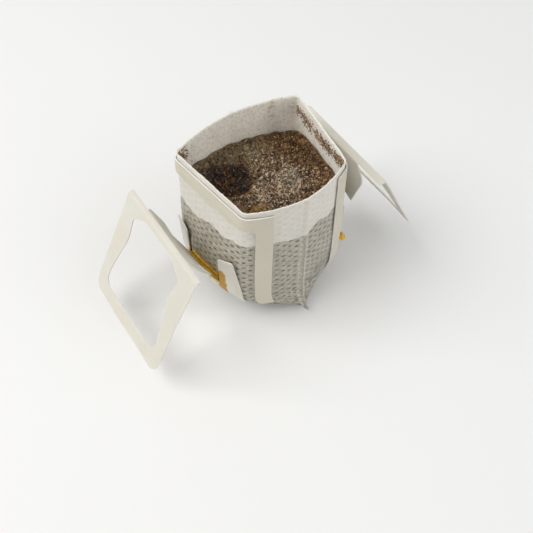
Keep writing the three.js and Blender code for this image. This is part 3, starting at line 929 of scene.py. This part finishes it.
def build_bead(bag, coffee, material):
    """Drop of coffee that hangs beside the leg on the right"""
    vertices, faces = [], []
    rings, around = 14, 20
    flatness, stand_off = 0.62, 1.4 * MM
    centre = skin(bag, 1, bag.face_width / 2 - 0.2 * MM, coffee.bead_height, stand_off)
    for i in range(rings + 1):
        t = i / rings
        radius = coffee.bead_radius * math.sin(math.pi * t) ** 0.75 * (1.12 - 0.35 * (1 - t))
        for k in range(around):
            angle = 2 * math.pi * k / around
            x, y = math.cos(angle) * radius * flatness, math.sin(angle) * radius
            vertices.append(Vector(centre) + Vector((x, y, (0.5 - t) * coffee.bead_length)))
    for i in range(rings):
        for k in range(around):
            a, b = i * around + k, i * around + (k + 1) % around
            faces.append((a, b, b + around, a + around))
    piece = add_piece("coffee_bead", vertices, faces, material)
    weld = piece.modifiers.new("Ends", "WELD")
    weld.merge_threshold = 0.02 * MM
    orient(piece)
    return piece


# Node helpers

class Nodes:
    """Adds nodes to a tree and links them in one call"""

    def __init__(self, tree):
        self.tree = tree

    def feed(self, node, inputs):
        """Links sockets to a node's inputs and sets plain values"""
        for key, value in inputs.items():
            if isinstance(value, bpy.types.NodeSocket):
                self.tree.links.new(value, node.inputs[key])
            else:
                node.inputs[key].default_value = value

    def add(self, kind, inputs=None, **settings):
        node = self.tree.nodes.new(kind)
        for key, value in settings.items():
            setattr(node, key, value)
        self.feed(node, inputs or {})
        return node

    def maths(self, operation, a, b=0.0):
        return self.add("ShaderNodeMath", {0: a, 1: b}, operation=operation).outputs[0]

    def times(self, a, b):
        return self.maths("MULTIPLY", a, b)

    def plus(self, a, b):
        return self.maths("ADD", a, b)

    def centred(self, value, amount):
        """A share from 0 to 1, moved to lie round 0 and scaled"""
        return self.times(self.maths("SUBTRACT", value, 0.5), amount)

    def mix(self, share, a, b):
        a, b = (c if isinstance(c, bpy.types.NodeSocket) else (*c, 1) for c in (a, b))
        return self.add("ShaderNodeMix", {"Factor": share, 6: a, 7: b}, data_type="RGBA").outputs[2]

    def tinted(self, base, mask, amount, colour):
        """The base turned towards a colour by a share of a mask"""
        return self.mix(self.times(mask, amount), base, colour)

    def ramp(self, value, low, high, to_low=0.0, to_high=1.0):
        return self.add("ShaderNodeMapRange", {
            "Value": value, "From Min": low, "From Max": high, "To Min": to_low, "To Max": to_high},
            interpolation_type="SMOOTHSTEP").outputs[0]

    def attribute(self, name, output="Fac"):
        return self.add("ShaderNodeAttribute", attribute_name=name).outputs[output]

    def noise(self, vector, scale, detail=2.0, roughness=0.5):
        return self.add("ShaderNodeTexNoise", {
            "Vector": vector, "Scale": scale, "Detail": detail, "Roughness": roughness}).outputs["Fac"]

    def bump(self, height, distance, strength):
        inputs = {"Height": height, "Distance": distance, "Strength": strength}
        return self.add("ShaderNodeBump", inputs).outputs["Normal"]


def new_material(name):
    """Material with a Principled shader, its node helper and that shader"""
    material = bpy.data.materials.new(name)
    material.use_nodes = True
    nodes = Nodes(material.node_tree)
    shader = material.node_tree.nodes["Principled BSDF"]
    return material, nodes, shader


def new_group(name, inputs, outputs):
    """Shader node group with named sockets, its node helper and its input and output nodes"""
    group = bpy.data.node_groups.new(name, "ShaderNodeTree")
    for label, kind, value in inputs:
        socket = group.interface.new_socket(name=label, in_out="INPUT", socket_type=kind)
        if value is not None:
            socket.default_value = value
    for label, kind in outputs:
        group.interface.new_socket(name=label, in_out="OUTPUT", socket_type=kind)
    nodes = Nodes(group)
    return group, nodes, nodes.add("NodeGroupInput"), nodes.add("NodeGroupOutput")


def fibre_group():
    """Matted fibres of paper and card: a height and a tone that change over the surface"""
    group, nodes, start, end = new_group(
        "Paper fibres",
        [("Vector", "NodeSocketVector", None), ("Scale", "NodeSocketFloat", 900.0)],
        [("Height", "NodeSocketFloat"), ("Tone", "NodeSocketFloat")])
    stretched = nodes.add("ShaderNodeMapping", {"Vector": start.outputs["Vector"], "Scale": (1, 0.35, 0.6)})
    long_fibres = nodes.noise(stretched.outputs[0], start.outputs["Scale"], 4.0, 0.65)
    cloud = nodes.noise(start.outputs["Vector"], nodes.times(start.outputs["Scale"], 0.3), 3.0, 0.6)
    nodes.feed(end, {"Height": nodes.plus(long_fibres, nodes.times(cloud, 0.5)),
                     "Tone": nodes.ramp(cloud, 0.25, 0.75)})
    return group


def stain_group():
    """Coffee stain: turns a soak from 0 to 1 into a colour and a gloss, with an uneven edge"""
    group, nodes, start, end = new_group(
        "Coffee stain",
        [("Colour", "NodeSocketColor", (1, 1, 1, 1)), ("Soak", "NodeSocketFloat", 0.0),
         ("Vector", "NodeSocketVector", None)],
        [("Colour", "NodeSocketColor"), ("Roughness", "NodeSocketFloat")])
    edge = nodes.noise(start.outputs["Vector"], 420.0, 3.0, 0.6)
    mask = nodes.ramp(nodes.plus(start.outputs["Soak"], nodes.centred(edge, 0.35)), 0.3, 0.75)
    amber = nodes.mix(edge, (0.38, 0.18, 0.004), (0.50, 0.28, 0.01))
    nodes.feed(end, {"Colour": nodes.mix(mask, start.outputs["Colour"], amber),
                     "Roughness": nodes.ramp(mask, 0, 1, 0.78, 0.5)})
    return group


def wet_web_colour(nodes, bag, place, paper, dot_depth):
    """Colour of the wet web: fibres, painted glints, embossed dots, a painted bluish sheen, painted shade
    in creases near the bottom and paler seams
    """
    cloud = nodes.noise(place, 120.0, 3.0)
    colour = nodes.mix(cloud, scaled(bag.wet_colour, 0.8), scaled(bag.wet_colour, 1.2))
    glint_and_fibre_tone = nodes.noise(place, 900.0, 2.0, 0.7)
    # Light specks from this noise are a painted glint on the wet web; the dark specks below are darker
    # fibres
    colour = nodes.mix(nodes.ramp(glint_and_fibre_tone, 0.5, 0.66, 0.0, 0.6), colour, (0.66, 0.63, 0.54))
    colour = nodes.mix(nodes.ramp(glint_and_fibre_tone, 0.48, 0.34, 0.0, 0.5), colour, (0.27, 0.245, 0.19))
    # Painted bluish sheen: a painted reflection laid over the wet web's colour
    colour = nodes.tinted(colour, nodes.attribute("painted_sheen"), 0.7, (0.30, 0.33, 0.32))
    colour = nodes.tinted(colour, dot_depth, 0.95, bag.dot_colour)
    # Painted shade: dark fold lines low on the wet web stand in for the shade in its creases
    squashed = nodes.add("ShaderNodeMapping", {"Vector": paper, "Scale": (0.22, 1.0, 1.0)}).outputs[0]
    shaded_fold_line = nodes.maths("ABSOLUTE", nodes.maths("SUBTRACT", nodes.noise(squashed, 260.0, 2.0), 0.5))
    height = nodes.add("ShaderNodeSeparateXYZ", {"Vector": paper}).outputs[1]
    crease = nodes.times(nodes.ramp(shaded_fold_line, 0.035, 0.005), nodes.ramp(height, -26 * MM, -38 * MM))
    colour = nodes.tinted(colour, crease, 0.7, bag.dot_colour)
    return nodes.tinted(colour, nodes.attribute("seam"), 0.55, (0.70, 0.67, 0.59))


def inner_web_with_painted_light(nodes, bag, place, inside, outer):
    """The outer colour, with the inner side lightened as painted light through the web, its mottling, its
    faint specks and the dust of dry grounds
    """
    mottle = nodes.ramp(nodes.noise(place, 780.0, 2.0, 0.7), 0.42, 0.62)
    # Inner side lifted 16 per cent above the dry web: painted light that shines through the thin web
    inner = nodes.tinted(scaled(bag.dry_colour, 1.16), mottle, 0.3, (0.50, 0.47, 0.42))
    colour = nodes.mix(inside, outer, inner)
    cells = nodes.add("ShaderNodeTexVoronoi", {"Vector": place, "Scale": 950.0}).outputs
    pick = nodes.add("ShaderNodeSeparateColor", {"Color": cells["Color"]}).outputs[0]
    specks = nodes.times(nodes.ramp(cells["Distance"], 0.42, 0.2), nodes.ramp(pick, 0.2, 0.8))
    colour = nodes.tinted(colour, specks, nodes.times(inside, 0.34), (0.30, 0.21, 0.13))
    uneven = nodes.centred(nodes.noise(place, 700.0, 3.0), 0.9)
    dusty = nodes.ramp(nodes.plus(nodes.attribute("dust"), uneven), 0.35, 0.8)
    return nodes.tinted(colour, dusty, nodes.ramp(mottle, 0, 1, 0.16, 0.5), (0.46, 0.30, 0.15))


def filter_material(bag, fibres):
    """Web of the pouch: pale above the water line, dark with pressed dots below it, dusty inside"""
    material, nodes, shader = new_material("Filter web")
    place = nodes.add("ShaderNodeTexCoord").outputs["Object"]
    paper = nodes.attribute("paper", "Vector")
    inside = nodes.attribute("inside")
    web = nodes.add("ShaderNodeGroup", {"Vector": place, "Scale": 1500.0}, node_tree=fibres).outputs
    squeezed = nodes.add("ShaderNodeMapping", {"Vector": paper, "Scale": (0.64, 1.0, 1.0)}).outputs[0]
    lattice = nodes.add("ShaderNodeMapping", {
        "Vector": squeezed, "Rotation": (0, 0, math.radians(45))}, vector_type="TEXTURE").outputs[0]
    dots = nodes.add("ShaderNodeTexVoronoi", {
        "Vector": lattice, "Scale": 1 / bag.dot_spacing, "Randomness": 0.13},
        voronoi_dimensions="2D").outputs["Distance"]
    dot = nodes.ramp(dots, 0.32, 0.13)
    dot_depth = nodes.times(dot, nodes.ramp(nodes.noise(place, 260.0, 1.0), 0.3, 0.6, 0.55, 1.0))
    dry = nodes.tinted(bag.dry_colour, web["Tone"], 0.35, scaled(bag.dry_colour, 0.82))
    dry = nodes.tinted(dry, dot_depth, 0.22, (0.42, 0.42, 0.40))
    ragged = nodes.centred(nodes.noise(place, 900.0, 2.0), 1.6)
    wet = nodes.ramp(nodes.plus(nodes.attribute("wet"), ragged), -0.25, 0.25)
    wet_outside = nodes.times(wet, nodes.maths("SUBTRACT", 1.0, inside))
    outer = nodes.mix(wet_outside, dry, wet_web_colour(nodes, bag, place, paper, dot_depth))
    pressed = nodes.times(dot, nodes.ramp(wet_outside, 0, 1, 0.22, 1.0))
    relief = nodes.maths("SUBTRACT", nodes.times(web["Height"], 0.35), pressed)
    nodes.feed(shader, {
        "Base Color": inner_web_with_painted_light(nodes, bag, place, inside, outer),
        "Roughness": nodes.ramp(wet_outside, 0, 1, 0.92, 0.55),
        "Normal": nodes.bump(relief, 0.16 * MM, 0.9),
        "Subsurface Weight": 0.5, "Subsurface Radius": (1.0, 0.9, 0.8), "Subsurface Scale": 0.9 * MM})
    return material


def card_material(card, fibres, stain):
    """Pale fibrous card with painted shade on the frames, a lighter cut edge that is partly a painted
    highlight, and coffee stains
    """
    material, nodes, shader = new_material("Food card")
    place = nodes.add("ShaderNodeTexCoord").outputs["Object"]
    sheet = nodes.attribute("sheet", "Vector")
    web = nodes.add("ShaderNodeGroup", {"Vector": sheet, "Scale": 1100.0}, node_tree=fibres).outputs
    face = nodes.tinted(card.colour, web["Tone"], 0.4, scaled(card.colour, 0.93))
    soft_shade = nodes.ramp(nodes.noise(place, 45.0, 2.0), 0.35, 0.65, 0.0, 0.25)
    face = nodes.mix(soft_shade, face, (0.64, 0.58, 0.46))
    # Painted shade on the frames: the same card as the ears, drawn darker
    face = nodes.tinted(face, nodes.attribute("frame_shade"), 0.6, (0.66, 0.60, 0.47))
    # Lighter cut edge: partly the card's own edge, partly a painted highlight along it
    colour = nodes.mix(nodes.ramp(nodes.attribute("edge"), 0.72, 0.98), face, card.edge_and_highlight_colour)
    stained = nodes.add("ShaderNodeGroup", {
        "Colour": colour, "Soak": nodes.attribute("soak"), "Vector": sheet}, node_tree=stain).outputs
    nodes.feed(shader, {
        "Base Color": stained["Colour"], "Roughness": stained["Roughness"],
        "Normal": nodes.bump(web["Height"], 0.05 * MM, 0.5),
        "Subsurface Weight": 0.15, "Subsurface Radius": (1.0, 0.9, 0.75), "Subsurface Scale": 0.4 * MM})
    return material


def grounds_material(bed, name, brown):
    """Flecked grounds whose colour follows the zones of the bed"""
    material, nodes, shader = new_material(name)
    place = nodes.add("ShaderNodeTexCoord").outputs["Object"]
    soaked_and_shaded, foam, damp, olive, ash, liquor = (nodes.attribute(zone) for zone in ZONES)
    fleck = nodes.noise(place, 1900.0, 3.0, 0.7)
    patch = nodes.noise(place, 150.0, 3.0, 0.6)
    mixed = nodes.plus(nodes.times(nodes.attribute("tone"), 0.5), nodes.times(fleck, 0.62))
    cloudy = nodes.plus(mixed, nodes.centred(patch, 0.5))
    light = nodes.ramp(nodes.plus(mixed, nodes.times(foam, 0.13)), 0.74, 0.84)

    def between(value, low, high, dark, pale):
        return nodes.mix(nodes.ramp(value, low, high), dark, pale)

    base = between(cloudy, 0.32, 0.76, scaled(brown, 0.2), scaled(brown, 1.9))
    mossy = between(cloudy, 0.3, 0.75, (0.06, 0.042, 0.02), (0.21, 0.155, 0.08))
    foamy = between(patch, 0.35, 0.7, (0.20, 0.135, 0.078), (0.30, 0.235, 0.165))
    earthy = between(mixed, 0.42, 0.8, (0.035, 0.014, 0.004), (0.27, 0.13, 0.035))
    golden = between(mixed, 0.45, 0.8, (0.13, 0.065, 0.01), (0.42, 0.26, 0.06))
    rusty = between(mixed, 0.6, 0.86, bed.dark, (0.34, 0.14, 0.032))
    layers = (
        (olive, 0.7, mossy), (foam, nodes.ramp(mixed, 0.4, 0.7, 0.0, 0.75), foamy), (damp, 0.75, earthy),
        (ash, 0.5, (0.17, 0.165, 0.135)), (light, 0.9, bed.tan), (liquor, 0.8, golden))
    for mask, amount, colour in layers:
        base = nodes.tinted(base, mask, amount, colour)
    nodes.feed(shader, {
        # Crater: soaked grounds darkened further as painted shade of the hollow
        "Base Color": nodes.mix(soaked_and_shaded, base, rusty),
        "Roughness": nodes.ramp(fleck, 0.35, 0.65, 0.22, 0.62),
        "Normal": nodes.bump(fleck, 0.25 * MM, 0.8), "Specular IOR Level": 0.3})
    return material


def coffee_material():
    """Clear amber coffee with a dark line along the hinge's groove"""
    material, nodes, shader = new_material("Brewed coffee")
    place = nodes.add("ShaderNodeTexCoord").outputs["Object"]
    depth = nodes.ramp(nodes.noise(place, 330.0, 2.0), 0.35, 0.65)
    amber = nodes.mix(depth, (0.78, 0.40, 0.012), (1.0, 0.68, 0.09))
    nodes.feed(shader, {
        "Base Color": nodes.tinted(amber, nodes.attribute("groove"), 0.85, (0.16, 0.05, 0.01)),
        "Normal": nodes.bump(nodes.noise(place, 620.0, 2.0), 0.5 * MM, 0.7),
        "Roughness": 0.08, "IOR": 1.34, "Transmission Weight": 0.2})
    return material


def floor_material(stage):
    """Pale floor that fades into the backdrop far from the bag"""
    material, nodes, shader = new_material("Pale floor")
    place = nodes.add("ShaderNodeTexCoord").outputs["Object"]
    away = nodes.add("ShaderNodeVectorMath", {0: place}, operation="LENGTH").outputs["Value"]
    far = nodes.ramp(away, 0.16, 0.7)
    colour, black = stage.floor_colour, (0, 0, 0)
    near_colour = nodes.mix(nodes.noise(place, 6.0, 2.0), scaled(colour, 0.985), colour)
    seen = nodes.add("ShaderNodeLightPath").outputs["Is Camera Ray"]
    nodes.feed(shader, {
        "Base Color": nodes.mix(far, near_colour, black),
        "Emission Color": nodes.mix(nodes.times(far, seen), black, stage.backdrop_colour),
        "Emission Strength": 1.0, "Roughness": 0.7, "Specular IOR Level": 0.0})
    return material


def shared(name, make):
    """A material or node group that is made once"""
    return bpy.data.materials.get(name) or bpy.data.node_groups.get(name) or make()


def paper_fibres():
    return shared("Paper fibres", fibre_group)


def card_finish(card):
    stain = shared("Coffee stain", stain_group)
    return shared("Food card", lambda: card_material(card, paper_fibres(), stain))


def grounds_finish(bed):
    name = "Wet coffee grounds"
    return shared(name, lambda: grounds_material(bed, name, bed.brown))


# Operators

class DRIPBAG_OT_stage(bpy.types.Operator):
    """Sets up the camera, the floor and the soft studio lamps"""
    bl_idname = "dripbag.stage"
    bl_label = "Stage"

    def execute(self, context):
        stage = context.scene.dripbag_stage
        camera = bpy.data.objects.new("Camera", bpy.data.cameras.new("Camera"))
        context.scene.collection.objects.link(camera)
        flat = math.cos(stage.elevation)
        view = Vector((math.sin(stage.azimuth) * flat, math.cos(stage.azimuth) * flat,
                       -math.sin(stage.elevation)))
        camera.location = stage.eye
        camera.rotation_mode = "QUATERNION"
        turn = view.to_track_quat("-Z", "Y")
        camera.rotation_quaternion = turn @ Quaternion((0, 0, 1), stage.roll)
        camera.data.sensor_width = 36
        camera.data.lens = stage.lens
        camera.data.clip_start = 0.01
        camera.data.clip_end = 20
        context.scene.camera = camera
        context.scene.view_settings.view_transform = "Standard"
        floor = bpy.data.objects.new("Floor", bpy.data.meshes.new("Floor"))
        low = cad_box[0].z - stage.floor_gap
        reach, bend = 3.0, 1.2
        rows = [(-reach, 0.0), (reach, 0.0)]
        rows += [(reach + bend * math.sin(a), bend * (1 - math.cos(a)))
                 for a in np.linspace(0, math.pi / 2, 13)[1:]]
        vertices = [(x, y, low + z) for y, z in rows for x in (-reach, reach)]
        faces = [(2 * i, 2 * i + 1, 2 * i + 3, 2 * i + 2) for i in range(len(rows) - 1)]
        floor.data.from_pydata(vertices, [], faces)
        floor.data.materials.append(floor_material(stage))
        context.scene.collection.objects.link(floor)
        self.lamp(context, "Window", (-0.55, 0.25, 0.75), 0.7, stage.window_power, (1.0, 0.99, 0.97))
        self.lamp(context, "Fill", (0.45, -0.55, 0.55), 0.8, stage.fill_power, (0.98, 0.99, 1.0))
        world = bpy.data.worlds.new("Studio")
        world.use_nodes = True
        context.scene.world = world
        nodes = Nodes(world.node_tree)
        background = world.node_tree.nodes["Background"]
        path = nodes.add("ShaderNodeLightPath").outputs
        seen = nodes.maths("MAXIMUM", path["Is Camera Ray"],
                           nodes.maths("MAXIMUM", path["Is Glossy Ray"], path["Is Transmission Ray"]))
        light, backdrop = 0.5, 0.86
        nodes.feed(background, {"Strength": nodes.ramp(seen, 0, 1, light, backdrop), "Color": (1, 1, 1, 1)})
        return {"FINISHED"}

    def lamp(self, context, name, place, size, power, colour):
        light = bpy.data.lights.new(name, "AREA")
        light.size = size
        light.energy = power
        light.color = colour
        lamp = bpy.data.objects.new(name, light)
        lamp.location = place
        lamp.rotation_mode = "QUATERNION"
        lamp.rotation_quaternion = (-Vector(place)).to_track_quat("-Z", "Y")
        context.scene.collection.objects.link(lamp)


class DRIPBAG_OT_pouch(bpy.types.Operator):
    """Builds the filter pouch"""
    bl_idname = "dripbag.pouch"
    bl_label = "Filter pouch"

    def execute(self, context):
        bag = context.scene.dripbag_pouch
        material = shared("Filter web", lambda: filter_material(bag, paper_fibres()))
        build_pouch(bag, material)
        return {"FINISHED"}


class DRIPBAG_OT_frames(bpy.types.Operator):
    """Builds the two hanger frames"""
    bl_idname = "dripbag.frames"
    bl_label = "Hanger frames"

    def execute(self, context):
        bag, card = context.scene.dripbag_pouch, context.scene.dripbag_card
        material = card_finish(card)
        build_frame(bag, card, -1, 0, "card_frame_left", "hanger_frame_left", material)
        build_frame(bag, card, 1, card.right_shift, "card_frame_right", "hanger_frame_right", material)
        return {"FINISHED"}


class DRIPBAG_OT_ears(bpy.types.Operator):
    """Builds the two hook ears"""
    bl_idname = "dripbag.ears"
    bl_label = "Ears"

    def execute(self, context):
        bag, card = context.scene.dripbag_pouch, context.scene.dripbag_card
        material = card_finish(card)
        build_ear(bag, card, -1, card.left_crease, card.left_seat, "card_ear_left", material)
        build_ear(bag, card, 1, card.right_crease, card.right_seat, "card_ear_right", material)
        return {"FINISHED"}


class DRIPBAG_OT_grounds(bpy.types.Operator):
    """Builds the bed of wet grounds, its loose grains and the crumbs on the filter"""
    bl_idname = "dripbag.grounds"
    bl_label = "Grounds"

    def execute(self, context):
        scene = context.scene
        bag, card, bed = scene.dripbag_pouch, scene.dripbag_card, scene.dripbag_bed
        material = grounds_finish(bed)
        build_bed(bag, bed, card, material)
        build_loose_grains(bag, bed, card, material)
        name = "Dry coffee grounds"
        dry = shared(name, lambda: grounds_material(bed, name, bed.crumb))
        build_stuck_crumbs(bag, bed, dry)
        return {"FINISHED"}


class DRIPBAG_OT_coffee(bpy.types.Operator):
    """Builds the coffee in the left hinge and the drop beside the right leg"""
    bl_idname = "dripbag.coffee"
    bl_label = "Coffee"

    def execute(self, context):
        scene = context.scene
        bag, card, coffee = scene.dripbag_pouch, scene.dripbag_card, scene.dripbag_coffee
        material = shared("Brewed coffee", coffee_material)
        build_hinge_pool(bag, card, coffee, material)
        build_bead(bag, coffee, material)
        return {"FINISHED"}


class DRIPBAG_PT_sidebar(bpy.types.Panel):
    """Lists the operators and the sizes of the drip bag"""
    bl_label = "Drip Coffee Bag"
    bl_idname = "DRIPBAG_PT_sidebar"
    bl_space_type = "VIEW_3D"
    bl_region_type = "UI"
    bl_category = "Drip Bag"

    def draw(self, context):
        layout = self.layout
        for operator in OPERATORS:
            layout.operator(operator.bl_idname)
        for name in SETTINGS:
            box = layout.box()
            settings = getattr(context.scene, name)
            for key in settings.bl_rna.properties.keys():
                if key not in ("rna_type", "name"):
                    box.prop(settings, key)


OPERATORS = (DRIPBAG_OT_stage, DRIPBAG_OT_pouch, DRIPBAG_OT_frames, DRIPBAG_OT_ears, DRIPBAG_OT_grounds,
             DRIPBAG_OT_coffee)
SETTINGS = {"dripbag_pouch": DRIPBAG_PG_pouch, "dripbag_card": DRIPBAG_PG_card,
            "dripbag_bed": DRIPBAG_PG_bed, "dripbag_coffee": DRIPBAG_PG_coffee,
            "dripbag_stage": DRIPBAG_PG_stage}
CLASSES = (*SETTINGS.values(), *OPERATORS, DRIPBAG_PT_sidebar)


def register():
    for item in CLASSES:
        bpy.utils.register_class(item)
    for name, group in SETTINGS.items():
        setattr(bpy.types.Scene, name, PointerProperty(type=group))


def unregister():
    for name in SETTINGS:
        delattr(bpy.types.Scene, name)
    for item in reversed(CLASSES):
        bpy.utils.unregister_class(item)


def main():
    register()
    bpy.ops.dripbag.stage()
    bpy.ops.dripbag.pouch()
    bpy.ops.dripbag.frames()
    bpy.ops.dripbag.ears()
    bpy.ops.dripbag.grounds()
    bpy.ops.dripbag.coffee()


if __name__ == "__main__":
    main()
